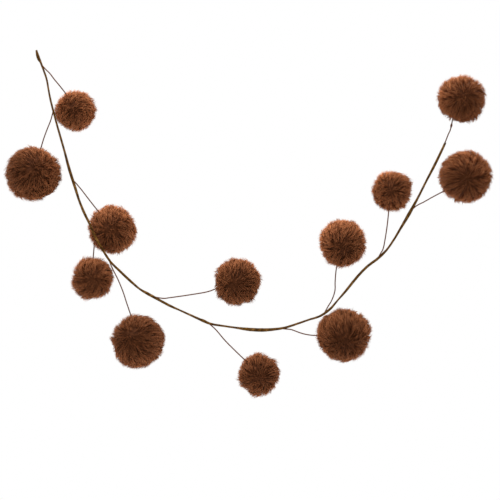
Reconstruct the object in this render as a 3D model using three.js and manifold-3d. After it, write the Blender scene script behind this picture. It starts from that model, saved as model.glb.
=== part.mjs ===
// Faux fur garland: a taped wire stem hanging in a swag, with twelve fur pompoms on branch wires.
// Millimetres, +Z up, +X along the swag, +Y away from the viewer.
// The origin is the upper left end of the stem, where the garland hangs.

import * as THREE from 'three';
import { mergeVertices } from 'three/addons/utils/BufferGeometryUtils.js';
import Module from 'manifold-3d';

// Driving dimensions
const GAP = 0.3;
const WIRE_WIDTH = 2.1;
const TAIL_WIDTH = 2.8;

// How finely the tubes are cut
const STEM_STEPS = 90;
const STEM_SIDES = 8;
const TAIL_STEPS = 6;
const WIRE_STEPS = 12;
const WIRE_SIDES = 6;

// Fur: the dense body ends at this share of a pompom's radius, and locks stand out of it
const FUR_BODY = 0.95;
const BODY_DETAIL = 4;
const LUMP = 0.12;
const LOCKS = 25;
const LOCK_REACH = 1.065;
const LOCK_LEAN = 0.09;
const LOCK_DROOP = 0.03;
const LUMP_AXIS = new THREE.Vector3(3, 5, 7);

// The wire stops this share of the radius short of the pompom's middle
const WIRE_STOP = 0.25;

const GOLDEN_ANGLE = Math.PI * (3 - Math.sqrt(5));

const COLOURS = { fur: '#6e3e24', tape: '#6b5233', wire: '#3f2f26' };

// Stem, from the upper left end: x, y, z of the middle of the tape, and its width
const STEM = [
  [0.6, 0, -0.4, 3.6],
  [4, 0, -9.5, 3.4],
  [7.9, 0, -20.7, 4],
  [13.5, 0.5, -36, 3.5],
  [18.9, 1, -52.2, 3.5],
  [22.5, 1, -72, 3.3],
  [25.7, 0.5, -88.2, 3.6],
  [30.6, 0, -108, 3.6],
  [36.9, -0.5, -131.4, 3.6],
  [44.1, -1, -156.6, 3.9],
  [51.3, -1, -181.8, 3.9],
  [59.4, -1, -212.4, 5.3],
  [66.6, 0, -235.8, 5.2],
  [71, 0, -249.5, 5],
  [77.4, 0, -270, 4.2],
  [86.2, -1, -291.5, 4.9],
  [98.1, -2, -315.9, 4.1],
  [107.1, -3, -336.6, 4.1],
  [117, -3, -353.7, 4.2],
  [126, -2, -369, 4.3],
  [135, -1, -382, 4],
  [151.2, 0, -398.2, 4.5],
  [169.2, 1, -415.3, 4.7],
  [187.2, 1.5, -430.7, 3.6],
  [201.6, 1, -439, 5.5],
  [223.2, 0, -450.8, 4.6],
  [241, -0.5, -460.3, 4.7],
  [259.2, -1, -468.5, 3.3],
  [280, -1, -478, 3.9],
  [295.2, -1, -484.9, 4.4],
  [300.6, -1, -487.1, 5.7],
  [313.2, -0.5, -492.5, 4.2],
  [342, 0, -497.4, 3.5],
  [358.2, 0, -499.7, 3.6],
  [382, 0.5, -502.8, 6.2],
  [406.8, 0, -504, 6.7],
  [430, 0, -502.6, 5],
  [448.2, 0, -499.7, 4.2],
  [475.2, 0.5, -491.1, 3.8],
  [491, 0.5, -485.6, 3.5],
  [511.2, 0, -478.9, 4.1],
  [529.2, -1, -466.2, 4.6],
  [543, -2, -450.3, 3.1],
  [556.2, -2, -435.2, 4.4],
  [571, -2, -416.8, 4.9],
  [583.2, -2, -402.5, 4.8],
  [597.6, -1, -388.5, 4.7],
  [613.4, 0, -376.8, 4.8],
  [624, 0.5, -367.4, 4.8],
  [633.1, 1, -357.6, 3.8],
  [645, 1, -340.2, 3.9],
  [655.2, 1, -323.1, 4.3],
  [671, 0, -296, 6.3],
  [688, 0, -264.9, 4.1],
  [702.1, 0, -236.8, 3.9],
  [715.8, 0.5, -210.7, 4.8],
  [727.2, 0, -187.3, 4.6],
  [736.8, 0, -166.9, 4.1],
];

// The stem wire's end, folded back on the left of the stem: x, y, z
const TAIL = [
  [0.5, 0, -1],
  [0.9, -0.4, -5],
  [1.4, -0.6, -9.5],
  [3, -0.8, -15],
  [5.2, -0.8, -18.9],
  [8, -0.2, -22.4],
];

// Each pompom with its middle, its radius, the route of its branch wire from the stem to its fur
// (x, y, z) and its lobes and notches. A lobe has the direction that it faces, in degrees: turn
// from the right round the front view, and tilt towards the viewer. Its rise is in millimetres and
// below zero for a notch, and its spread is the angle over which it fades.
const POMPOMS = [
  {
    name: '01', middle: [70.4, 9, -108.4], radius: 37.5,
    wire: [
      [10.5, 0, -27], [18.3, -2, -35.7], [25.2, -4, -42.3], [34.2, -6, -54], [43.2, -6, -64.8],
      [53.7, -3, -78.6],
    ],
    lobes: [
      [231, 0, -3.8, 15], [140, 10, -2, 18], [195, 0, 3.4, 22], [12, 0, 0.8, 20],
      [75, 0, -0.9, 20], [325, 0, -3.5, 16],
    ],
  },
  {
    name: '02', middle: [-3.6, -8, -222.3], radius: 50,
    wire: [
      [30.9, 0, -110], [26.8, -1, -126.2], [19.4, -3, -146], [14, -5, -162.4], [10, -6, -176.6],
    ],
    lobes: [
      [90, 0, -3.8, 20], [51, 0, -10, 12], [34, 0, 1.6, 13], [302, 0, -3, 15],
      [226, 0, 3.4, 16], [122, 0, -2, 12], [150, 0, -2.8, 24], [342, 0, 2, 16],
    ],
  },
  {
    name: '03', middle: [133.3, 38, -322.7], radius: 44,
    wire: [
      [66, 0, -233], [79.2, 1, -248.4], [95.4, 6, -270], [108, 14, -287],
      [117, 22, -298.5],
    ],
    lobes: [
      [146, 0, 1.4, 12], [231, 0, 2, 10], [350, 10, 0.6, 20], [100, 10, 1.4, 18],
      [275, 0, 1.2, 16], [20, 0, -1, 18],
    ],
  },
  {
    name: '04', middle: [100.8, 2, -410.9], radius: 38,
    wire: [
      [103.6, -2.6, -328.6], [105.4, -3, -335.5], [106.2, -3.4, -343], [105.2, -3, -352],
      [104.2, -2, -362], [103.1, 0, -372.6],
    ],
    lobes: [
      [165, 0, -6, 18], [188, 0, -2, 9], [204, 0, 3, 9], [58, 0, 3, 12], [20, 0, 1.4, 10],
      [268, 0, -2.6, 12], [112, 0, 4.4, 11], [246, 0, 4, 14], [315, 0, 2.3, 18],
    ],
  },
  {
    name: '05', middle: [183.6, -4, -524.3], radius: 48,
    wire: [
      [131, -1, -377], [138.6, -4, -394.2], [148.5, -6, -413.6], [157.4, -6, -435.3],
      [163.8, -5, -455.4], [171, -5, -477],
    ],
    lobes: [
      [172, 0, 4.6, 11], [201, 0, -7.2, 13], [246, 0, 1.8, 12], [20, 0, 1, 22],
      [306, 0, -1.8, 14], [110, 0, 1.4, 16],
    ],
  },
  {
    name: '06', middle: [363.6, 3, -416.7], radius: 42.8,
    wire: [
      [210, 0.5, -444], [230.4, -2, -447], [241.2, -2, -445.7], [277.2, -1, -440.6],
      [309.6, 1, -434.9], [324, 2, -429.8],
    ],
    lobes: [
      [155, 0, 3.8, 13], [218, 0, 8, 8], [250, 0, 5, 7], [268, 0, 1.4, 9], [289, 0, -9, 8],
      [304, 0, 3, 8], [335, 0, -3.4, 18], [182, 5, -2.2, 10],
    ],
  },
  {
    name: '07', middle: [401, 0, -582.7], radius: 37.5,
    wire: [
      [309, -0.5, -490.5], [322.6, -4, -501.9], [339.9, -9, -521.6], [359.2, -13, -540.7],
      [377.2, -14, -557.8],
    ],
    lobes: [
      [275, 0, 4, 24], [252, 0, 4.4, 8], [298, 0, 4.2, 9], [320, 0, -5.2, 7], [230, 0, -4, 8],
      [205, 0, 4.4, 13], [157, 0, -3.4, 16], [53, 0, -7.4, 9], [37, 0, 2, 10], [20, 0, -2.6, 7],
      [2, 0, 2.4, 10], [92, 0, 1.4, 8],
    ],
  },
  {
    name: '08', middle: [552.6, 10, -348.3], radius: 43.2,
    wire: [
      [518, 0, -475.5], [526.2, 3, -461.1], [531.9, 5, -452.3], [538.5, 7, -434],
      [539, 8, -417.6], [540.9, 9, -396], [542.7, 9, -387],
    ],
    lobes: [
      [60, 0, 2.4, 12], [328, 15, -0.8, 13], [320, 0, 1.8, 10], [203, 0, -3.4, 12],
      [122, 0, 1.3, 10], [150, 0, 1, 10], [265, 0, 1.4, 10],
    ],
  },
  {
    name: '09', middle: [553.9, 12, -513.9], radius: 48.6,
    wire: [
      [436, 0, -501], [450, -1, -502.2], [459, -1.5, -503.1], [477, 0, -509.6],
      [489.6, 2, -512.7], [502.2, 5, -514.1],
    ],
    lobes: [
      [119, 0, -8.6, 11], [136, 0, 1.4, 8], [294, 0, 3.4, 8], [24, 0, 4.8, 16], [0, 0, 1.6, 22],
      [250, 0, -0.6, 18], [328, 0, 1.8, 14],
    ],
  },
  {
    name: '10', middle: [640.8, 4, -253.8], radius: 36.7,
    wire: [
      [614.5, 0, -376.5], [620.1, -3, -365.8], [623.9, -5, -358.8], [627.3, -8, -341.6],
      [630.8, -13, -314.7], [633, -17, -290], [634.5, -16, -277],
    ],
    lobes: [
      [24, 0, 7, 10], [0, 5, -2.4, 12], [232, 0, 1.8, 9], [270, 0, -3.6, 7], [303, 0, 1.6, 12],
      [332, 0, -2.2, 9], [130, 0, 1.6, 14], [112, 0, 1, 10], [172, 0, -1.2, 12],
    ],
  },
  {
    name: '11', middle: [771.7, -6, -228.6], radius: 47.8,
    wire: [
      [674.3, 0, -289.8], [684.2, -4, -280.7], [697.5, -8, -273.6], [709, -11, -266.9],
      [722.3, -13, -259.7], [734, -13, -253.5],
    ],
    lobes: [
      [119, 0, -2.4, 9], [133, 0, -1.8, 9], [157, 0, -2.4, 11], [60, 5, 1.2, 18],
      [337, 0, -3.2, 13], [4, 0, -1.4, 10], [238, 0, -3.6, 14], [275, 0, 0.4, 14],
    ],
  },
  {
    name: '12', middle: [765.5, 2, -87.8], radius: 42.8,
    wire: [
      [734.6, 0, -170.5], [738.5, 0, -161.1], [741.6, 0, -153], [745.6, 0, -144.2],
      [748.7, 0.5, -131.4], [750.6, 1, -122.4],
    ],
    lobes: [
      [84, 0, 0.4, 10], [98, 0, -5.4, 12], [48, 0, 4.2, 11], [16, 0, 2.4, 20],
      [239, 0, -6.6, 14], [261, 0, -4.4, 6], [293, 0, 2.4, 8], [306, 0, 3.2, 20],
      [150, 0, 1.4, 14],
    ],
  },
];

const wasm = await Module();
wasm.setup();

function solidFrom(geometry) {
  const bare = geometry.clone();
  bare.deleteAttribute('normal');
  bare.deleteAttribute('uv');
  const merged = mergeVertices(bare);
  return new wasm.Manifold(new wasm.Mesh({
    numProp: 3,
    vertProperties: new Float32Array(merged.getAttribute('position').array),
    triVerts: new Uint32Array(merged.getIndex().array),
  }));
}

function geometryFrom(solid) {
  const { vertProperties, triVerts } = solid.getMesh();
  const geometry = new THREE.BufferGeometry();
  geometry.setAttribute('position', new THREE.BufferAttribute(vertProperties, 3));
  geometry.setIndex(new THREE.BufferAttribute(triVerts, 1));
  geometry.computeVertexNormals();
  return geometry;
}

// Numbers from 0 to 1 that look random and are the same each time
function scatter(seed) {
  const value = Math.sin(seed * 127.1 + 311.7) * 43758.5453;
  return value - Math.floor(value);
}

// A tube along a route, whose width may change and which can be grown all over by a clearance
function tube(route, sides, steps, widthAt, grow = 0) {
  const curve = new THREE.CatmullRomCurve3(route.map(([x, y, z]) => new THREE.Vector3(x, y, z)));
  const corners = Array.from({ length: sides }, (_, i) => {
    const angle = (2 * Math.PI * i) / sides;
    return new THREE.Vector2(Math.cos(angle), Math.sin(angle));
  });
  const section = new THREE.Shape(corners);
  const geometry = new THREE.ExtrudeGeometry(section, { extrudePath: curve, steps, bevelEnabled: false });
  const rings = curve.getSpacedPoints(steps);
  const ends = [curve.getTangentAt(0).multiplyScalar(-grow), curve.getTangentAt(1).multiplyScalar(grow)];
  const positions = geometry.getAttribute('position');
  const corner = new THREE.Vector3();
  for (let i = 0; i < positions.count; i += 1) {
    corner.fromBufferAttribute(positions, i);
    const distances = rings.map((ring) => ring.distanceToSquared(corner));
    const nearest = distances.indexOf(Math.min(...distances));
    const ring = rings[nearest];
    corner.sub(ring).multiplyScalar(widthAt(ring) / 2 + grow).add(ring);
    if (nearest === 0) corner.add(ends[0]);
    if (nearest === steps) corner.add(ends[1]);
    positions.setXYZ(i, corner.x, corner.y, corner.z);
  }
  return solidFrom(geometry);
}

// The stem never turns back along X, so its width is read from the table by X
function stemWidth({ x }) {
  const after = STEM.findIndex(([rowX]) => rowX >= x);
  if (after === 0) return STEM[0][3];
  if (after < 0) return STEM.at(-1)[3];
  const [startX, , , startWidth] = STEM[after - 1];
  const [endX, , , endWidth] = STEM[after];
  return THREE.MathUtils.mapLinear(x, startX, endX, startWidth, endWidth);
}

function stemSolid(grow) {
  const main = tube(STEM, STEM_SIDES, STEM_STEPS, stemWidth, grow);
  const tail = tube(TAIL, STEM_SIDES, TAIL_STEPS, () => TAIL_WIDTH, grow);
  return main.add(tail);
}

// A branch wire starts inside the stem's tape and ends near the middle of its pompom
function wireRoute({ middle, radius, wire }) {
  const centre = new THREE.Vector3(...middle);
  const entry = new THREE.Vector3(...wire.at(-1));
  const inward = entry.clone().sub(centre).setLength(radius * WIRE_STOP);
  return [...wire, centre.add(inward).toArray()];
}

function wireSolid(pompom, grow = 0) {
  return tube(wireRoute(pompom), WIRE_SIDES, WIRE_STEPS, () => WIRE_WIDTH, grow);
}

function facing(turn, tilt) {
  const [turned, tilted] = [turn, tilt].map(THREE.MathUtils.degToRad);
  const flat = Math.cos(tilted);
  return new THREE.Vector3(Math.cos(turned) * flat, -Math.sin(tilted), Math.sin(turned) * flat);
}

// Directions spread evenly over a ball, from bottom to top
function evenDirection(index, count, shift) {
  const height = 1 - (2 * (index + 0.5)) / count;
  const across = Math.sqrt(1 - height * height);
  const angle = index * GOLDEN_ANGLE + shift;
  return new THREE.Vector3(across * Math.cos(angle), across * Math.sin(angle), height);
}

// How far the dense fur reaches in one direction: round, with the pompom's own lobes and notches
function furReach({ radius, lobes }, direction) {
  let reach = radius * FUR_BODY;
  for (const [turn, tilt, rise, spread] of lobes) {
    const away = direction.angleTo(facing(turn, tilt)) / THREE.MathUtils.degToRad(spread);
    reach += rise * Math.exp(-(away ** 2));
  }
  return reach;
}

// A corner of the dense fur, a little in or out of the round so that the body is lumpy
function furCorner(pompom, direction) {
  const lump = scatter(Math.round(direction.dot(LUMP_AXIS) * 1000) + pompom.seed) - 0.5;
  return direction.clone().multiplyScalar(furReach(pompom, direction) + lump * LUMP * pompom.radius);
}

// The tip of a lock, which leans to one side and droops
function lockTip(pompom, direction, index) {
  const lean = evenDirection(Math.floor(scatter(pompom.seed + index) * LOCKS), LOCKS, 0);
  const tip = direction.clone().addScaledVector(lean, LOCK_LEAN);
  tip.z -= LOCK_DROOP;
  return tip.setLength(furReach(pompom, direction) * (LOCK_REACH / FUR_BODY));
}

// A lumpy ball of many facets. The facets nearest to evenly spread directions are drawn out into
// three-sided locks, which are one with the body at their roots.
function furSolid(pompom) {
  const ball = new THREE.IcosahedronGeometry(1, BODY_DETAIL).getAttribute('position');
  const facets = [];
  for (let i = 0; i < ball.count; i += 3) {
    const directions = [0, 1, 2].map((k) => new THREE.Vector3().fromBufferAttribute(ball, i + k).normalize());
    const middle = directions.reduce((sum, direction) => sum.clone().add(direction)).normalize();
    facets.push({ middle, corners: directions.map((direction) => furCorner(pompom, direction)) });
  }
  for (let i = 0; i < LOCKS; i += 1) {
    const wanted = evenDirection(i, LOCKS, pompom.seed);
    facets.sort((one, other) => other.middle.dot(wanted) - one.middle.dot(wanted));
    const facet = facets.find(({ tip }) => tip === undefined);
    facet.tip = lockTip(pompom, facet.middle, i);
  }
  const points = facets.flatMap(({ tip, corners: [a, b, c] }) => {
    if (tip === undefined) return [a, b, c];
    return [a, b, tip, b, c, tip, c, a, tip];
  });
  return solidFrom(new THREE.BufferGeometry().setFromPoints(points));
}

function pompomSolid(pompom, stemRoom) {
  return furSolid(pompom).translate(pompom.middle).subtract(wireSolid(pompom, GAP)).subtract(stemRoom);
}

function piece(name, solid, colour, roughness) {
  const material = new THREE.MeshStandardMaterial({ color: colour, roughness, metalness: 0 });
  const mesh = new THREE.Mesh(geometryFrom(solid), material);
  mesh.name = name;
  return mesh;
}

const garland = new THREE.Group();
const stemRoom = stemSolid(GAP);
garland.add(piece('stem', stemSolid(0), COLOURS.tape, 0.8));
POMPOMS.forEach((row, index) => {
  const pompom = { ...row, seed: index + 1 };
  const wire = wireSolid(pompom).subtract(stemRoom);
  garland.add(piece(`wire_${row.name}`, wire, COLOURS.wire, 0.6));
  garland.add(piece(`pompom_${row.name}`, pompomSolid(pompom, stemRoom), COLOURS.fur, 0.95));
});

export default garland;
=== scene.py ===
"""Faux fur garland hanging in a swag: its taped wire stem, branch wires and fur pompoms."""

from math import cos, pi, radians, sin, sqrt

import bmesh
import bpy
import numpy as np
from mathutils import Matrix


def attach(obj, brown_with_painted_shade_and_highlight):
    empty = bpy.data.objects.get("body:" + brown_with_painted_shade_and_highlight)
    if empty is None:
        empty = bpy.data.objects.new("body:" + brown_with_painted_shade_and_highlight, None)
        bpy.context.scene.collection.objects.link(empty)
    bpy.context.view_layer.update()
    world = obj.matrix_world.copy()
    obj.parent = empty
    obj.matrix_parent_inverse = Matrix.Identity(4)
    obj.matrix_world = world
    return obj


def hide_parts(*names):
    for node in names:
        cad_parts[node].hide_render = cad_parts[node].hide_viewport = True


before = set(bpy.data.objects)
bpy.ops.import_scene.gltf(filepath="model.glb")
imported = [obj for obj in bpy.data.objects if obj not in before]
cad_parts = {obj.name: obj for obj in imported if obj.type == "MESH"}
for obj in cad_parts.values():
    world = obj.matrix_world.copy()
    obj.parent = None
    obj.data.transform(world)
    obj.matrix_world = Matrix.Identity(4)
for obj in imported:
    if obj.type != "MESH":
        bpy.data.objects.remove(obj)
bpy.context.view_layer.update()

MM = 0.001

# The photograph's view, in metres: square on to the swag, through a long lens in millimetres
VIEW_WIDTH = 0.9
VIEW_MIDDLE = (0.3852, -0.36)
VIEW_DEPTH = 20
LENS = 85
SENSOR = 36

# The studio, in metres and watts: a white room with more of its light from above and from
# behind, a pale floor well below the garland, and two large lamps aimed at the swag's middle
ROOM_LIGHT = 0.93
LIGHT_FROM_ABOVE = 0.86
LIGHT_FROM_BEHIND = 0.5
FLOOR_HEIGHT = -1.2
FLOOR_HALF_WIDTH = 1.5
LAMP_AIM = (0.385, 0, -0.36)
LAMPS = [
    {"name": "key", "place": (-0.5, -1.3, 1.5), "size": 1.4, "power": 25},
    {"name": "top", "place": (0.6, -0.3, 1.4), "size": 1.6, "power": 23},
]

# Stem, from the upper left end, in millimetres: x, y, z of the middle of the tape, and its width
STEM = [
    (0.6, 0, -0.4, 3.6),
    (4, 0, -9.5, 3.4),
    (7.9, 0, -20.7, 4),
    (13.5, 0.5, -36, 3.5),
    (18.9, 1, -52.2, 3.5),
    (22.5, 1, -72, 3.3),
    (25.7, 0.5, -88.2, 3.6),
    (30.6, 0, -108, 3.6),
    (36.9, -0.5, -131.4, 3.6),
    (44.1, -1, -156.6, 3.9),
    (51.3, -1, -181.8, 3.9),
    (59.4, -1, -212.4, 5.3),
    (66.6, 0, -235.8, 5.2),
    (71, 0, -249.5, 5),
    (77.4, 0, -270, 4.2),
    (86.2, -1, -291.5, 4.9),
    (98.1, -2, -315.9, 4.1),
    (107.1, -3, -336.6, 4.1),
    (117, -3, -353.7, 4.2),
    (126, -2, -369, 4.3),
    (135, -1, -382, 4),
    (151.2, 0, -398.2, 4.5),
    (169.2, 1, -415.3, 4.7),
    (187.2, 1.5, -430.7, 3.6),
    (201.6, 1, -439, 5.5),
    (223.2, 0, -450.8, 4.6),
    (241, -0.5, -460.3, 4.7),
    (259.2, -1, -468.5, 3.3),
    (280, -1, -478, 3.9),
    (295.2, -1, -484.9, 4.4),
    (300.6, -1, -487.1, 5.7),
    (313.2, -0.5, -492.5, 4.2),
    (342, 0, -497.4, 3.5),
    (358.2, 0, -499.7, 3.6),
    (382, 0.5, -502.8, 6.2),
    (406.8, 0, -504, 6.7),
    (430, 0, -502.6, 5),
    (448.2, 0, -499.7, 4.2),
    (475.2, 0.5, -491.1, 3.8),
    (491, 0.5, -485.6, 3.5),
    (511.2, 0, -478.9, 4.1),
    (529.2, -1, -466.2, 4.6),
    (543, -2, -450.3, 3.1),
    (556.2, -2, -435.2, 4.4),
    (571, -2, -416.8, 4.9),
    (583.2, -2, -402.5, 4.8),
    (597.6, -1, -388.5, 4.7),
    (613.4, 0, -376.8, 4.8),
    (624, 0.5, -367.4, 4.8),
    (633.1, 1, -357.6, 3.8),
    (645, 1, -340.2, 3.9),
    (655.2, 1, -323.1, 4.3),
    (671, 0, -296, 6.3),
    (688, 0, -264.9, 4.1),
    (702.1, 0, -236.8, 3.9),
    (715.8, 0.5, -210.7, 4.8),
    (727.2, 0, -187.3, 4.6),
    (736.8, 0, -166.9, 4.1),
]

# The stem wire's end, folded back on the left of the stem: x, y, z
TAIL = [
    (0.5, 0, -1),
    (0.9, -0.4, -5),
    (1.4, -0.6, -9.5),
    (3, -0.8, -15),
    (5.2, -0.8, -18.9),
    (8, -0.2, -22.4),
]
TAIL_WIDTH = 2.8

# Each pompom, in millimetres and degrees: its middle and radius; its crown, where the fur parts
# at the front, across and up from the middle as shares of the radius; how much paler than the
# others it is, added to its tone; how far its hairs are combed, from root to tip, away from
# the crown; the route of its branch wire from the stem to the fur; and its lobes, each with its
# turn from the right round the front view, its tilt towards the viewer, its rise and its spread.
POMPOMS = [
    {
        "name": "01", "middle": (70.4, 9, -108.4), "radius": 37.5, "crown": (0, -0.02),
        "paler": 0.28, "combed": 16,
        "wire": [
            (10.5, 0, -27), (18.3, -2, -35.7), (25.2, -4, -42.3), (34.2, -6, -54),
            (43.2, -6, -64.8), (53.7, -3, -78.6),
        ],
        "lobes": [
            (231, 0, -3.8, 15), (140, 10, -2, 18), (195, 0, 3.4, 22), (12, 0, 0.8, 20),
            (75, 0, -0.9, 20), (325, 0, -3.5, 16),
        ],
    },
    {
        "name": "02", "middle": (-3.6, -8, -222.3), "radius": 50, "crown": (-0.1, 0.07),
        "paler": 0.07, "combed": 10,
        "wire": [
            (30.9, 0, -110), (26.8, -1, -126.2), (19.4, -3, -146), (14, -5, -162.4),
            (10, -6, -176.6),
        ],
        "lobes": [
            (90, 0, -3.8, 20), (51, 0, -10, 12), (34, 0, 1.6, 13), (302, 0, -3, 15),
            (226, 0, 3.4, 16), (122, 0, -2, 12), (150, 0, -2.8, 24), (342, 0, 2, 16),
        ],
    },
    {
        "name": "03", "middle": (133.3, 38, -322.7), "radius": 44, "crown": (0, -0.1),
        "paler": 0.18, "combed": 17,
        "wire": [
            (66, 0, -233), (79.2, 1, -248.4), (95.4, 6, -270), (108, 14, -287),
            (117, 22, -298.5),
        ],
        "lobes": [
            (146, 0, 1.4, 12), (231, 0, 2, 10), (350, 10, 0.6, 20), (100, 10, 1.4, 18),
            (275, 0, 1.2, 16), (20, 0, -1, 18),
        ],
    },
    {
        "name": "04", "middle": (100.8, 2, -410.9), "radius": 38, "crown": (0.05, -0.05),
        "paler": 0.09, "combed": 15,
        "wire": [
            (103.6, -2.6, -328.6), (105.4, -3, -335.5), (106.2, -3.4, -343), (105.2, -3, -352),
            (104.2, -2, -362), (103.1, 0, -372.6),
        ],
        "lobes": [
            (165, 0, -6, 18), (188, 0, -2, 9), (204, 0, 3, 9), (58, 0, 3, 12), (20, 0, 1.4, 10),
            (268, 0, -2.6, 12), (112, 0, 4.4, 11), (246, 0, 4, 14), (315, 0, 2.3, 18),
        ],
    },
    {
        "name": "05", "middle": (183.6, -4, -524.3), "radius": 48, "crown": (-0.15, 0.28),
        "paler": -0.03, "combed": 17,
        "wire": [
            (131, -1, -377), (138.6, -4, -394.2), (148.5, -6, -413.6), (157.4, -6, -435.3),
            (163.8, -5, -455.4), (171, -5, -477),
        ],
        "lobes": [
            (172, 0, 4.6, 11), (201, 0, -7.2, 13), (246, 0, 1.8, 12), (20, 0, 1, 22),
            (306, 0, -1.8, 14), (110, 0, 1.4, 16),
        ],
    },
    {
        "name": "06", "middle": (363.6, 3, -416.7), "radius": 42.8, "crown": (-0.04, 0),
        "paler": 0.02, "combed": 15,
        "wire": [
            (210, 0.5, -444), (230.4, -2, -447), (241.2, -2, -445.7), (277.2, -1, -440.6),
            (309.6, 1, -434.9), (324, 2, -429.8),
        ],
        "lobes": [
            (155, 0, 3.8, 13), (218, 0, 8, 8), (250, 0, 5, 7), (268, 0, 1.4, 9),
            (289, 0, -9, 8), (304, 0, 3, 8), (335, 0, -3.4, 18), (182, 5, -2.2, 10),
        ],
    },
    {
        "name": "07", "middle": (401, 0, -582.7), "radius": 37.5, "crown": (0.04, -0.03),
        "paler": 0.02, "combed": 15,
        "wire": [
            (309, -0.5, -490.5), (322.6, -4, -501.9), (339.9, -9, -521.6), (359.2, -13, -540.7),
            (377.2, -14, -557.8),
        ],
        "lobes": [
            (275, 0, 4, 24), (252, 0, 4.4, 8), (298, 0, 4.2, 9), (320, 0, -5.2, 7),
            (230, 0, -4, 8), (205, 0, 4.4, 13), (157, 0, -3.4, 16), (53, 0, -7.4, 9),
            (37, 0, 2, 10), (20, 0, -2.6, 7), (2, 0, 2.4, 10), (92, 0, 1.4, 8),
        ],
    },
    {
        "name": "08", "middle": (552.6, 10, -348.3), "radius": 43.2, "crown": (0.05, -0.25),
        "paler": 0.15, "combed": 14,
        "wire": [
            (518, 0, -475.5), (526.2, 3, -461.1), (531.9, 5, -452.3), (538.5, 7, -434),
            (539, 8, -417.6), (540.9, 9, -396), (542.7, 9, -387),
        ],
        "lobes": [
            (60, 0, 2.4, 12), (328, 15, -0.8, 13), (320, 0, 1.8, 10), (203, 0, -3.4, 12),
            (122, 0, 1.3, 10), (150, 0, 1, 10), (265, 0, 1.4, 10),
        ],
    },
    {
        "name": "09", "middle": (553.9, 12, -513.9), "radius": 48.6, "crown": (0.03, -0.12),
        "paler": -0.04, "combed": 18,
        "wire": [
            (436, 0, -501), (450, -1, -502.2), (459, -1.5, -503.1), (477, 0, -509.6),
            (489.6, 2, -512.7), (502.2, 5, -514.1),
        ],
        "lobes": [
            (119, 0, -8.6, 11), (136, 0, 1.4, 8), (294, 0, 3.4, 8), (24, 0, 4.8, 16),
            (0, 0, 1.6, 22), (250, 0, -0.6, 18), (328, 0, 1.8, 14),
        ],
    },
    {
        "name": "10", "middle": (640.8, 4, -253.8), "radius": 36.7, "crown": (0.03, 0.05),
        "paler": 0.2, "combed": 16,
        "wire": [
            (614.5, 0, -376.5), (620.1, -3, -365.8), (623.9, -5, -358.8), (627.3, -8, -341.6),
            (630.8, -13, -314.7), (633, -17, -290), (634.5, -16, -277),
        ],
        "lobes": [
            (24, 0, 7, 10), (0, 5, -2.4, 12), (232, 0, 1.8, 9), (270, 0, -3.6, 7),
            (303, 0, 1.6, 12), (332, 0, -2.2, 9), (130, 0, 1.6, 14), (112, 0, 1, 10),
            (172, 0, -1.2, 12),
        ],
    },
    {
        "name": "11", "middle": (771.7, -6, -228.6), "radius": 47.8, "crown": (-0.15, -0.15),
        "paler": 0.07, "combed": 18,
        "wire": [
            (674.3, 0, -289.8), (684.2, -4, -280.7), (697.5, -8, -273.6), (709, -11, -266.9),
            (722.3, -13, -259.7), (734, -13, -253.5),
        ],
        "lobes": [
            (119, 0, -2.4, 9), (133, 0, -1.8, 9), (157, 0, -2.4, 11), (60, 5, 1.2, 18),
            (337, 0, -3.2, 13), (4, 0, -1.4, 10), (238, 0, -3.6, 14), (275, 0, 0.4, 14),
        ],
    },
    {
        "name": "12", "middle": (765.5, 2, -87.8), "radius": 42.8, "crown": (0.1, -0.12),
        "paler": 0.08, "combed": 14,
        "wire": [
            (734.6, 0, -170.5), (738.5, 0, -161.1), (741.6, 0, -153), (745.6, 0, -144.2),
            (748.7, 0.5, -131.4), (750.6, 1, -122.4),
        ],
        "lobes": [
            (84, 0, 0.4, 10), (98, 0, -5.4, 12), (48, 0, 4.2, 11), (16, 0, 2.4, 20),
            (239, 0, -6.6, 14), (261, 0, -4.4, 6), (293, 0, 2.4, 8), (306, 0, 3.2, 20),
            (150, 0, 1.4, 14),
        ],
    },
]

# Fur, in millimetres and square millimetres. Hairs grow in clumps and clumps in tufts, and each
# of these locks is LOCK_STRETCH times as long as it is wide, along the way the fur lies.
HAIRS_PER_MM2 = 0.32
CLUMP_AREA = 4
TUFT_AREA = 36
LOCK_STRETCH = 3
HAIR_LENGTH = 15
HAIR_WIDTH = 0.84

# Tufts, clumps and hairs stand on an even spiral round a pompom, with the golden angle from one
# to the next, but for how far they are moved at random, in shares of the pompom's radius
GOLDEN_ANGLE = pi * (3 - sqrt(5))
TUFT_SCATTER = 0.05
CLUMP_SCATTER = 0.03
HAIR_SCATTER = 0.015

# One hair, in shares of its length and its width: where its mesh bends, where the elbow of its
# path is, how it tapers, how thick it is for its width, and the thinnest and the widest hair
HAIR_BEND = 0.67
HAIR_ELBOW = 0.55
HAIR_TAPER = ((0, HAIR_BEND, 1), (0.9, 0.95, 0))
HAIR_FLATNESS = 0.55
HAIR_WIDTHS = (0.65, 1.35)

# How far hairs gather sideways into their clump and clumps into their tuft, the least and the
# most, as shares of the way to the lock's middle line
CLUMPING = (0.4, 0.8)
TUFTING = (0.1, 0.5)

# Where the fur ends, in millimetres from the pompom's outline: how far the middles of tufts
# stand out, how unevenly tufts and clumps end, and the middle and the spread of hairs' ends
TUFT_TOP = 1.3
TUFT_UNEVEN = 1.7
CLUMP_UNEVEN = 0.7
HAIR_END = (-0.6, 0.4)

# The way the fur lies. The combing away from a crown starts about CROWN_CALM degrees from it
# and fades about CROWN_REACH degrees from it. Sweeps, droop and strays carry the tips of hairs
# aside, in millimetres, and SWEEP_TURNS says how fast a sweep changes over a pompom.
CROWN_CALM = 12
CROWN_REACH = 75
SWEEPS = 3
SWEEP_LEAN = 8
SWEEP_TURNS = 2.2
DROOP = 1.5
TUFT_STRAY = 5
CLUMP_STRAY = 3
HAIR_STRAY = 1.7
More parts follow.
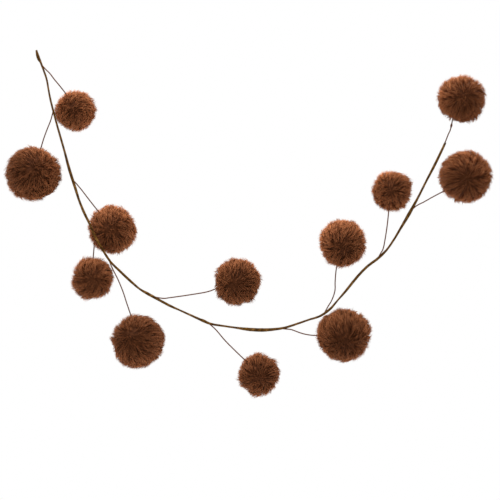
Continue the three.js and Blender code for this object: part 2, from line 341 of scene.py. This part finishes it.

# Tones of fur, from 0, the darkest, to 1, the palest: the middle one, how unevenly tufts, clumps
# and hairs are dyed, and the painted shade at the front and back crowns, for the shade down
# between the hairs there, which fades over so many degrees
FUR_TONE = 0.5
TONE_UNEVEN = 0.05
TONE_LIMITS = (0.02, 0.98)
CROWN_PAINTED_SHADE = 0.42
CROWN_PAINTED_SHADE_REACH = 50

# The ball under the fur: its depth below the outline in millimetres, how far its lumps stand up
# as a share of its radius, and the waves that they follow
UNDER_FUR = 8.5
LUMP_RISE = 0.03
LUMP_WAVES = ((15.3, 23.8, 18.7), (13, -8, 10))

# Places on the fur's map, with the small steps between corners that give every face its own area
HAIR_TONE_STEP = 0.004
BALL_TONE = 0.5
BALL_TONE_STEP = 0.002
# The ball lies at the roots' end of the map, in their painted shade
BALL_HEIGHT = 0.04
BALL_HEIGHT_STEP = 0.02

# Tape, in millimetres: the step of its mesh along the stem and the sides round it, the pitch of
# its turns and how far they stand up. As shares of that, a turn starts low and is slack in waves
# along the stem. The last three are how much the mottling shows in its colour, how much the
# edges show in its colour as a painted highlight on each raised edge and painted shade below it,
# and how much the edges show in its bump.
TAPE_STEP = 1.1
TAPE_SIDES = 14
TAPE_PITCH = 13
TAPE_EDGE = 0.13
TAPE_LOW = 0.4
TAPE_SLACK = 0.2
SLACK_WAVES = (0.9, 0.23)
MOTTLE_IN_TONE = 0.85
EDGE_IN_PAINTED_LIGHT = 0.25
EDGE_IN_BUMP = 0.5

# Wire, in millimetres. It stops short of its pompom's middle, at a share of the radius. A knot
# thickens one wire.
WIRE_WIDTH = 2.1
WIRE_STEP = 1.6
WIRE_SIDES = 8
WIRE_STOP = 0.25
KNOT_PLACE = (747.5, 0.3, -135.9)
KNOT_SIZE = 2.6

# How finely a route is cut between two of its points, the fewest rings of a tube, how near two
# corners are that are one, and a length too small to matter
ROUTE_CUTS = 24
FEWEST_RINGS = 4
SAME_PLACE = 1e-5
TINY = 1e-9


def set_up_camera():
    """The camera stands square on to the swag, as far off as its long lens asks."""
    camera = bpy.data.objects.new("camera", bpy.data.cameras.new("camera"))
    camera.data.lens = LENS
    camera.data.sensor_width = SENSOR
    camera.data.clip_end = VIEW_DEPTH
    distance = VIEW_WIDTH * LENS / SENSOR
    camera.location = (VIEW_MIDDLE[0], -distance, VIEW_MIDDLE[1])
    camera.rotation_euler = (pi / 2, 0, 0)
    bpy.context.scene.collection.objects.link(camera)
    bpy.context.scene.camera = camera


class Flow:
    """A value in a material's nodes. Sums written on it add Math nodes."""

    def __init__(self, finish, socket):
        self.finish = finish
        self.socket = socket

    def maths(self, operation, first, second):
        node = self.finish.node("ShaderNodeMath", {"operation": operation}, {0: first, 1: second})
        return Flow(self.finish, node.outputs[0])

    def __add__(self, other):
        return self.maths("ADD", self, other)

    def __rsub__(self, other):
        return self.maths("SUBTRACT", other, self)

    def __mul__(self, other):
        return self.maths("MULTIPLY", self, other)

    __radd__ = __add__
    __rmul__ = __mul__


class Nodes:
    """The nodes of a material or of the world."""

    def __init__(self, tree):
        self.tree = tree

    def node(self, kind, settings=None, sockets=None):
        """A node of one type, with its settings, then the values or links of its sockets."""
        node = self.tree.nodes.new(kind)
        for setting, value in (settings or {}).items():
            if setting == "stops":
                self.set_stops(node.color_ramp, value)
            else:
                setattr(node, setting, value)
        for socket, value in (sockets or {}).items():
            if isinstance(value, Flow):
                self.tree.links.new(value.socket, node.inputs[socket])
            else:
                node.inputs[socket].default_value = value
        return node

    def set_stops(self, ramp, stops):
        """Gives a ramp its stops, each a place from 0 to 1 and a colour."""
        while len(ramp.elements) < len(stops):
            ramp.elements.new(0.5)
        for element, (place, colour) in zip(ramp.elements, stops):
            element.position = place
            element.color = (*colour, 1)

    def flow(self, node, output):
        return Flow(self, node.outputs[output])

    def ramp(self, factor, stops):
        node = self.node("ShaderNodeValToRGB", {"stops": stops}, {"Fac": factor})
        return self.flow(node, "Color")

    def noise(self, vector, scale, detail, distortion=0.0):
        sockets = {"Vector": vector, "Scale": scale, "Detail": detail, "Distortion": distortion}
        return self.flow(self.node("ShaderNodeTexNoise", None, sockets), "Fac")

    def mix(self, kind, factor, first, second):
        """Two colours mixed. A Mix node's colour sockets are its 6 and 7, and its output 2."""
        settings = {"data_type": "RGBA", "blend_type": kind}
        node = self.node("ShaderNodeMix", settings, {"Factor": factor, 6: first, 7: second})
        return self.flow(node, 2)


class Finish(Nodes):
    """A material being built: its Principled shader and the nodes that feed it."""

    def __init__(self, name, constants):
        self.material = bpy.data.materials.new(name)
        self.material.use_nodes = True
        super().__init__(self.material.node_tree)
        self.shader = self.tree.nodes["Principled BSDF"]
        for socket, value in constants.items():
            self.shader.inputs[socket].default_value = value

    def feed(self, socket, flow):
        self.tree.links.new(flow.socket, self.shader.inputs[socket])

    def bump(self, height, strength, distance):
        sockets = {"Height": height, "Strength": strength, "Distance": distance}
        self.feed("Normal", self.flow(self.node("ShaderNodeBump", None, sockets), "Normal"))

    def object_place(self):
        """The place on the piece itself, in metres."""
        return self.flow(self.node("ShaderNodeTexCoord"), "Object")

    def map_across_and_along(self):
        """The two coordinates of the piece's own map."""
        uv = self.node("ShaderNodeUVMap", {"uv_map": "OFBake"})
        parts = self.node("ShaderNodeSeparateXYZ", None, {"Vector": self.flow(uv, "UV")})
        return self.flow(parts, "X"), self.flow(parts, "Y")


def fur_finish():
    """Rust brown fur, darker towards the roots with painted shade and paler towards the tips with
    a painted highlight. Its map has each hair's tone across it, and root to tip along it.
    """
    finish = Finish("fur", {"Roughness": 0.6, "Specular IOR Level": 0.06})
    tone, along = finish.map_across_and_along()
    # The fur's brown along each hair, with painted shade towards the root and a painted highlight
    # towards the tip
    brown_with_painted_shade_and_highlight = finish.ramp(along, [
        (0.0, (0.055, 0.0165, 0.005)),
        (0.4, (0.125, 0.0375, 0.0115)),
        (0.72, (0.240, 0.078, 0.0285)),
        (1.0, (0.500, 0.195, 0.080)),
    ])
    # Each hair's tone: its uneven dye, and painted shade near the front and back crowns
    dye_and_painted_crown_shade = finish.ramp(tone, [
        (0.0, (0.36, 0.33, 0.31)),
        (0.5, (1.0, 0.98, 0.97)),
        (1.0, (2.15, 2.2, 2.28)),
    ])
    finish.feed("Base Color", finish.mix("MULTIPLY", 1.0, brown_with_painted_shade_and_highlight, dye_and_painted_crown_shade))
    return finish.material


def tape_finish():
    """Brown crepe paper tape: mottled and finely creased, with a painted highlight on each turn's
    raised edge and painted shade under it.
    """
    finish = Finish("stem_tape", {"Roughness": 0.7, "Specular IOR Level": 0.05})
    at = finish.object_place()
    mottle = finish.noise(at, scale=110, detail=3)
    crease = finish.noise(at, scale=1400, detail=2, distortion=0.6)
    edge = finish.flow(finish.node("ShaderNodeAttribute", {"attribute_name": "wrap"}), "Fac")
    # Colour: the mottling, with a painted highlight on each raised edge and painted shade below
    # it
    colour = finish.ramp(mottle * MOTTLE_IN_TONE + edge * EDGE_IN_PAINTED_LIGHT, [
        (0.2, (0.034, 0.014, 0.002)),
        (0.45, (0.100, 0.045, 0.008)),
        (0.7, (0.195, 0.098, 0.026)),
        (0.95, (0.360, 0.208, 0.085)),
    ])
    finish.feed("Base Color", colour)
    finish.bump(crease + edge * EDGE_IN_BUMP, strength=0.5, distance=0.2 * MM)
    return finish.material


def wire_finish():
    """Thin wire with a dull dark brown covering."""
    finish = Finish("branch_wire", {"Roughness": 0.6, "Specular IOR Level": 0.03})
    grain = finish.noise(finish.object_place(), scale=900, detail=2)
    colour = finish.ramp(grain, [
        (0.3, (0.060, 0.018, 0.006)),
        (0.7, (0.130, 0.044, 0.020)),
    ])
    finish.feed("Base Color", colour)
    finish.bump(grain, strength=0.3, distance=0.1 * MM)
    return finish.material


def unit(vectors):
    """Vectors brought to a length of one."""
    return vectors / np.linalg.norm(vectors, axis=-1, keepdims=True)


def tangential(vectors, directions):
    """What is left of vectors across the directions, along a pompom's surface."""
    return vectors - directions * np.sum(vectors * directions, axis=1, keepdims=True)


def facing(turn, tilt):
    """A direction from its turn round the front view and its tilt towards the viewer."""
    turned, tilted = radians(turn), radians(tilt)
    return np.array((cos(turned) * cos(tilted), -sin(tilted), sin(turned) * cos(tilted)))


def even_directions(count, shift):
    """Directions spread evenly over a ball."""
    index = np.arange(count)
    height = 1 - 2 * (index + 0.5) / count
    across = np.sqrt(1 - height**2)
    angle = index * GOLDEN_ANGLE + shift
    return np.stack((across * np.cos(angle), across * np.sin(angle), height), axis=1)


def smooth_route(points, step):
    """A smooth curve through the points, cut at even steps along its length."""
    points = np.array(points, float)
    ends = 2 * points[[0, -1]] - points[[1, -2]]
    knots = np.vstack((ends[:1], points, ends[1:]))
    fine = []
    for p0, p1, p2, p3 in zip(knots, knots[1:], knots[2:], knots[3:]):
        t1 = sqrt(np.linalg.norm(p1 - p0))
        t2 = t1 + sqrt(np.linalg.norm(p2 - p1))
        t3 = t2 + sqrt(np.linalg.norm(p3 - p2))
        t = np.linspace(t1, t2, ROUTE_CUTS, endpoint=False)[:, None]
        a1 = p0 + (p1 - p0) * (t / t1)
        a2 = p1 + (p2 - p1) * ((t - t1) / (t2 - t1))
        a3 = p2 + (p3 - p2) * ((t - t2) / (t3 - t2))
        b1 = a1 + (a2 - a1) * (t / t2)
        b2 = a2 + (a3 - a2) * ((t - t1) / (t3 - t1))
        fine.append(b1 + (b2 - b1) * ((t - t1) / (t2 - t1)))
    fine = np.vstack((*fine, points[-1:]))
    run = np.concatenate(([0], np.cumsum(np.linalg.norm(np.diff(fine, axis=0), axis=1))))
    wanted = np.linspace(0, run[-1], max(FEWEST_RINGS, round(run[-1] / step)))
    return np.stack([np.interp(wanted, run, fine[:, k]) for k in range(3)], axis=1), wanted


def frames_along(route):
    """Two directions across a route at each of its points, turned as little as can be."""
    tangents = unit(np.gradient(route, axis=0))
    side = unit(np.cross(tangents[0], (0.0, 1.0, 0.0)))
    sides = []
    for tangent in tangents:
        side = unit(side - tangent * (side @ tangent))
        sides.append(side)
    sides = np.array(sides)
    return sides, np.cross(tangents, sides)


def add_piece(name, mesh, material, node=None):
    """Puts a finished mesh in the scene, riding with the garland and standing for its solid."""
    mesh.materials.append(material)
    mesh.polygons.foreach_set("use_smooth", np.ones(len(mesh.polygons), bool))
    piece = bpy.data.objects.new(name, mesh)
    bpy.context.scene.collection.objects.link(piece)
    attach(piece, "root")
    if node:
        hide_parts(node)


def rolled_tube(name, points, step, sides, radius_at, relief=None):
    """A sheet rolled up along a route into a tube, closed at its seam and its ends."""
    route, run = smooth_route(points, step)
    across, over = frames_along(route)
    rings = len(route)
    bm = bmesh.new()
    bmesh.ops.create_grid(bm, x_segments=rings - 1, y_segments=sides, size=0.5)
    bmesh.ops.translate(bm, verts=bm.verts, vec=(0.5, 0.5, 0))
    uv = bm.loops.layers.uv.new("OFBake")
    wrap = bm.verts.layers.float.new("wrap")
    for face in bm.faces:
        for loop in face.loops:
            loop[uv].uv = loop.vert.co.xy
    for vert in bm.verts:
        ring = round(vert.co.x * (rings - 1))
        angle = 2 * pi * vert.co.y
        radius = radius_at(route[ring])
        if relief:
            vert[wrap] = relief(run[ring], angle)
            radius += vert[wrap] * TAPE_EDGE
        offset = across[ring] * cos(angle) + over[ring] * sin(angle)
        vert.co = (route[ring] + offset * radius) * MM
    bmesh.ops.remove_doubles(bm, verts=bm.verts, dist=SAME_PLACE)
    open_edges = [edge for edge in bm.edges if edge.is_boundary]
    bmesh.ops.holes_fill(bm, edges=open_edges, sides=sides)
    bmesh.ops.recalc_face_normals(bm, faces=bm.faces)
    mesh = bpy.data.meshes.new(name)
    bm.to_mesh(mesh)
    bm.free()
    return mesh


def tape_turns(run, angle):
    """How far the tape stands up: each turn rises to its edge and drops to the one below it."""
    turn = (run / TAPE_PITCH + angle / (2 * pi)) % 1
    slack = sin(run * SLACK_WAVES[0] + 2 * angle) * sin(run * SLACK_WAVES[1])
    return turn**2 - TAPE_LOW + TAPE_SLACK * slack


def make_stem(material):
    """The main stem with its thicker bindings, and its end folded back at the top."""
    table = np.array(STEM)

    def stem_radius(place):
        return np.interp(place[0], table[:, 0], table[:, 3]) / 2

    def tail_radius(_):
        return TAIL_WIDTH / 2

    stem = rolled_tube("stem", table[:, :3], TAPE_STEP, TAPE_SIDES, stem_radius, tape_turns)
    add_piece("taped_stem", stem, material, "stem")
    tail = rolled_tube("tail", TAIL, TAPE_STEP, TAPE_SIDES, tail_radius, tape_turns)
    add_piece("stem_tail", tail, material)


def make_wire(pompom, material):
    """A branch wire, from inside the stem's tape to near the middle of its pompom."""
    middle = np.array(pompom["middle"], float)
    inward = unit(np.array(pompom["wire"][-1]) - middle) * pompom["radius"] * WIRE_STOP
    knot = np.array(KNOT_PLACE)

    def wire_radius(place):
        swell = np.exp(-((np.linalg.norm(place - knot) / KNOT_SIZE) ** 2))
        return WIRE_WIDTH / 2 * (1 + swell)

    name = f"wire_{pompom['name']}"
    route = [*pompom["wire"], tuple(middle + inward)]
    mesh = rolled_tube(name, route, WIRE_STEP, WIRE_SIDES, wire_radius)
    add_piece(f"branch_{name}", mesh, material, name)


def fur_reach(pompom, directions):
    """How far the fur reaches in each direction: round, with the pompom's lobes and notches."""
    reach = np.full(len(directions), float(pompom["radius"]))
    for turn, tilt, rise, spread in pompom["lobes"]:
        away = np.degrees(np.arccos(np.clip(directions @ facing(turn, tilt), -1, 1)))
        reach += rise * np.exp(-((away / spread) ** 2))
    return reach


def crown_of(pompom):
    """The direction in which the fur parts at the front. It parts behind in the opposite one."""
    across, up = pompom["crown"]
    return unit(np.array((across, -sqrt(1 - across**2 - up**2), up)))


def crown_angles(directions, crown):
    """How far directions are from the nearer crown, in degrees."""
    return np.degrees(np.arccos(np.abs(directions @ crown)))


def crown_leans(directions, crown, combed):
    """How far and which way the crowns lay the fur over: away from the nearer one, and down."""
    angle = crown_angles(directions, crown)
    nearer = crown * np.sign(directions @ crown)[:, None]
    away = unit(tangential(-nearer, directions) + TINY)
    lean = combed * np.exp(-((angle / CROWN_REACH) ** 2))
    lean *= 1 - np.exp(-((angle / CROWN_CALM) ** 2))
    return away * lean[:, None] + np.array((0, 0, -DROOP))


def lay_of(pompom, draw):
    """The way the fur lies all over a pompom: away from its crowns, in a few broad sweeps."""
    crown = crown_of(pompom)
    sweeps = []
    for _ in range(SWEEPS):
        across, way = unit(draw.normal(0, 1, (2, 3)))
        sweeps.append((across, way, draw.uniform(0, 2 * pi)))

    def lay(directions):
        lean = crown_leans(directions, crown, pompom["combed"])
        for across, way, start in sweeps:
            swing = np.sin(directions @ across * SWEEP_TURNS + start)
            lean += way * swing[:, None] * SWEEP_LEAN
        return tangential(lean, directions)

    return lay


def nearest(places, others, ways):
    """Which of the others each place is in, where they are long along the way the fur lies."""
    along = np.sum(places * ways, axis=1)[:, None] - ways @ others.T
    return np.argmax(2 * places @ others.T + (1 - LOCK_STRETCH**-2) * along**2, axis=1)


def gather(places, towards, ways, pull):
    """Pull places sideways towards a lock's middle line."""
    apart = towards - places
    return places + tangential(apart, ways) * pull[:, None]


def scattered(area, one_area, uneven, draw):
    """Directions for as many roots as the area holds, a little unevenly spread."""
    count = round(area / one_area)
    directions = even_directions(count, draw.random() * pi)
    return unit(directions + draw.normal(0, uneven, directions.shape))


def strays(directions, amount, draw):
    """How far single locks or hairs stray from the way the fur lies."""
    return tangential(draw.normal(0, amount, directions.shape), directions)


def hair_tones(pompom, tufts, in_tuft, in_clump, draw):
    """Each hair's tone: that of its tuft, with painted shade near a crown, changed a little."""
    angle = crown_angles(tufts, crown_of(pompom))
    # Painted shade: tufts near the front and back crowns are darkened
    painted_shade = CROWN_PAINTED_SHADE * np.exp(-((angle / CROWN_PAINTED_SHADE_REACH) ** 2))
    tuft_tone = draw.normal(FUR_TONE + pompom["paler"], TONE_UNEVEN, len(tufts)) - painted_shade
    clump_tone = tuft_tone[in_tuft] + draw.normal(0, TONE_UNEVEN, len(in_tuft))
    tone = clump_tone[in_clump] + draw.normal(0, TONE_UNEVEN, len(in_clump))
    return np.clip(tone, *TONE_LIMITS)


def hair_paths(pompom, draw):
    """The root, elbow and tip of every hair, and its tone."""
    radius = pompom["radius"]
    area = 4 * pi * radius**2
    tufts = scattered(area, TUFT_AREA, TUFT_SCATTER, draw)
    clumps = scattered(area, CLUMP_AREA, CLUMP_SCATTER, draw)
    roots = scattered(area, 1 / HAIRS_PER_MM2, HAIR_SCATTER, draw)
    lay = lay_of(pompom, draw)
    clump_ways, hair_ways = unit(lay(clumps)), unit(lay(roots))
    in_tuft = nearest(clumps, tufts, clump_ways)
    in_clump = nearest(roots, clumps, hair_ways)

    tuft_strays = strays(tufts, TUFT_STRAY, draw)
    clump_strays = tuft_strays[in_tuft] + strays(clumps, CLUMP_STRAY, draw)
    hair_strays = clump_strays[in_clump] + strays(roots, HAIR_STRAY, draw)

    def tips_of(places, stray, ends):
        heads = unit(places + (lay(places) + stray) / radius)
        return heads * (fur_reach(pompom, heads) + ends)[:, None]

    tuft_ends = draw.normal(0, TUFT_UNEVEN, len(tufts))
    tuft_tips = tips_of(tufts, tuft_strays, tuft_ends + TUFT_TOP)
    clump_ends = tuft_ends[in_tuft] + draw.normal(0, CLUMP_UNEVEN, len(clumps))
    clump_tips = tips_of(clumps, clump_strays, clump_ends)
    pull = draw.uniform(*TUFTING, len(tufts))[in_tuft]
    clump_tips = gather(clump_tips, tuft_tips[in_tuft], clump_ways, pull)
    hair_ends = clump_ends[in_clump] + draw.normal(*HAIR_END, len(roots))
    tips = tips_of(roots, hair_strays, hair_ends)
    pull = draw.uniform(*CLUMPING, len(clumps))[in_clump]
    tips = gather(tips, clump_tips[in_clump], hair_ways, pull)

    starts = roots * (fur_reach(pompom, roots) - HAIR_LENGTH)[:, None]
    lengths = np.linalg.norm(tips - starts, axis=1, keepdims=True)
    elbows = starts + roots * lengths * HAIR_ELBOW
    return starts, elbows, tips, hair_tones(pompom, tufts, in_tuft, in_clump, draw)


def arrays_of(bm):
    """A mesh under construction as arrays: its places, its faces' corners and their counts."""
    bm.verts.index_update()
    places = np.array([vert.co for vert in bm.verts])
    corners = np.array([vert.index for face in bm.faces for vert in face.verts])
    counts = np.array([len(face.verts) for face in bm.faces])
    bm.free()
    return places, corners, counts


def one_hair():
    """A three-sided cone from 0 to 1 along Z, cut across so that it can bend."""
    bm = bmesh.new()
    bmesh.ops.create_cone(bm, cap_ends=True, segments=3, radius1=1, radius2=0, depth=1)
    bmesh.ops.translate(bm, verts=bm.verts, vec=(0, 0, 0.5))
    bmesh.ops.remove_doubles(bm, verts=bm.verts, dist=SAME_PLACE)
    geom = bm.verts[:] + bm.edges[:] + bm.faces[:]
    bmesh.ops.bisect_plane(bm, geom=geom, plane_co=(0, 0, HAIR_BEND), plane_no=(0, 0, 1))
    bmesh.ops.recalc_face_normals(bm, faces=bm.faces)
    return arrays_of(bm)


def under_ball(pompom):
    """The lumpy ball that the hairs stand on, dark with painted shade, as the arrays of its mesh.
    """
    bm = bmesh.new()
    bmesh.ops.create_icosphere(bm, subdivisions=4, radius=1)
    directions, corners, counts = arrays_of(bm)
    directions = unit(directions)
    first, second = (np.sin(directions @ np.array(wave)) for wave in LUMP_WAVES)
    reach = (fur_reach(pompom, directions) - UNDER_FUR) * (1 + LUMP_RISE * first * second)
    return directions * reach[:, None], corners, counts


def hair_places(hair, starts, elbows, tips, draw):
    """The places of all hairs' corners: one hair laid along every path, turned at random."""
    height = hair[:, 2]
    bearing = np.arctan2(hair[:, 1], hair[:, 0])
    turned = bearing + draw.uniform(0, 2 * pi, (len(starts), 1))
    line = unit(tips - starts)
    side = unit(np.cross(line, draw.normal(0, 1, line.shape)))
    over = np.cross(line, side)
    width = HAIR_WIDTH / 2 * draw.uniform(*HAIR_WIDTHS, (len(starts), 1))
    width = width * np.interp(height, *HAIR_TAPER)
    h = height[:, None]
    path = (1 - h) ** 2 * starts[:, None] + 2 * h * (1 - h) * elbows[:, None]
    path = path + h**2 * tips[:, None]
    sideways = side[:, None] * (width * np.cos(turned))[..., None]
    upwards = over[:, None] * (width * np.sin(turned) * HAIR_FLATNESS)[..., None]
    return (path + sideways + upwards).reshape(-1, 3)


def hair_map(hair, tone):
    """Where hairs' corners lie on the fur's map: the tone across it, root to tip along it."""
    bearing = np.arctan2(hair[:, 1], hair[:, 0])
    across = tone[:, None] + np.cos(bearing) * HAIR_TONE_STEP
    along = np.tile(hair[:, 2], (len(tone), 1))
    return np.stack((across, along), axis=-1).reshape(-1, 2)


def ball_map(ball):
    """Where the ball's corners lie on the fur's map: a middle tone, in the painted shade of
    hairs' roots.
    """
    across = BALL_TONE + ball[:, 0] * BALL_TONE_STEP
    along = BALL_HEIGHT + unit(ball)[:, 2] * BALL_HEIGHT_STEP
    return np.stack((across, along), axis=1)


def fur_mesh(pompom):
    """A pompom's fur: a lumpy ball, dark with painted shade, and the hairs that stand on it, as
    one mesh.
    """
    draw = np.random.default_rng(int(pompom["name"]))
    starts, elbows, tips, tone = hair_paths(pompom, draw)
    hair, hair_corners, hair_counts = one_hair()
    ball, ball_corners, ball_counts = under_ball(pompom)
    hairs = hair_places(hair, starts, elbows, tips, draw)
    first_corners = np.arange(len(starts))[:, None] * len(hair)

    places = np.vstack((hairs, ball)) + np.array(pompom["middle"])
    corners = (hair_corners + first_corners).ravel()
    corners = np.concatenate((corners, ball_corners + len(hairs)))
    counts = np.concatenate((np.tile(hair_counts, len(starts)), ball_counts))
    first_loops = np.concatenate(([0], np.cumsum(counts)[:-1]))
    uv = np.vstack((hair_map(hair, tone), ball_map(ball)))

    mesh = bpy.data.meshes.new(f"fur_{pompom['name']}")
    mesh.vertices.add(len(places))
    mesh.vertices.foreach_set("co", (places * MM).ravel())
    mesh.loops.add(len(corners))
    mesh.loops.foreach_set("vertex_index", corners.astype(np.int32))
    mesh.polygons.add(len(counts))
    mesh.polygons.foreach_set("loop_start", first_loops.astype(np.int32))
    mesh.update(calc_edges=True)
    mesh.uv_layers.new(name="OFBake").data.foreach_set("uv", uv[corners].ravel())
    return mesh


def make_pompom(pompom, material):
    """A pompom's fur, in place of its solid."""
    name = f"pompom_{pompom['name']}"
    add_piece(f"fur_{name}", fur_mesh(pompom), material, name)


def light_the_room():
    """A white room, lit most from above and behind, seen as plain white past the garland."""
    world = bpy.context.scene.world or bpy.data.worlds.new("studio")
    bpy.context.scene.world = world
    world.use_nodes = True
    nodes = Nodes(world.node_tree)
    place = nodes.flow(nodes.node("ShaderNodeTexCoord"), "Generated")
    parts = nodes.node("ShaderNodeSeparateXYZ", None, {"Vector": place})
    behind, above = nodes.flow(parts, "Y"), nodes.flow(parts, "Z")
    seen = nodes.flow(nodes.node("ShaderNodeLightPath"), "Is Camera Ray")
    level = ROOM_LIGHT + above * LIGHT_FROM_ABOVE + behind * LIGHT_FROM_BEHIND
    background = nodes.tree.nodes["Background"]
    background.inputs["Color"].default_value = (1, 1, 1, 1)
    nodes.tree.links.new((level * (1 - seen) + seen).socket, background.inputs["Strength"])


def lay_the_floor():
    """A pale floor well below the garland."""
    bm = bmesh.new()
    bmesh.ops.create_grid(bm, x_segments=1, y_segments=1, size=FLOOR_HALF_WIDTH)
    bmesh.ops.translate(bm, verts=bm.verts, vec=(VIEW_MIDDLE[0], 0, FLOOR_HEIGHT))
    mesh = bpy.data.meshes.new("floor")
    bm.to_mesh(mesh)
    bm.free()
    finish = Finish("pale_floor", {"Base Color": (0.85, 0.85, 0.85, 1), "Roughness": 0.9})
    mesh.materials.append(finish.material)
    floor = bpy.data.objects.new("floor", mesh)
    bpy.context.scene.collection.objects.link(floor)


def hang_the_lamps():
    """Two large soft lamps, turned to face the middle of the swag."""
    for row in LAMPS:
        lamp = bpy.data.objects.new(row["name"], bpy.data.lights.new(row["name"], "AREA"))
        lamp.data.size = row["size"]
        lamp.data.energy = row["power"]
        lamp.location = row["place"]
        aim = np.array(LAMP_AIM) - np.array(row["place"])
        level_aim = sqrt(aim[0] ** 2 + aim[1] ** 2)
        turn = np.arctan2(aim[1], aim[0]) - pi / 2
        lamp.rotation_euler = (np.arctan2(level_aim, -aim[2]), 0, turn)
        bpy.context.scene.collection.objects.link(lamp)


set_up_camera()
bpy.context.scene.view_settings.view_transform = "Standard"
lay_the_floor()
light_the_room()
hang_the_lamps()
make_stem(tape_finish())
covering, fur = wire_finish(), fur_finish()
for pompom in POMPOMS:
    make_wire(pompom, covering)
    make_pompom(pompom, fur)

bpy.context.view_layer.update()
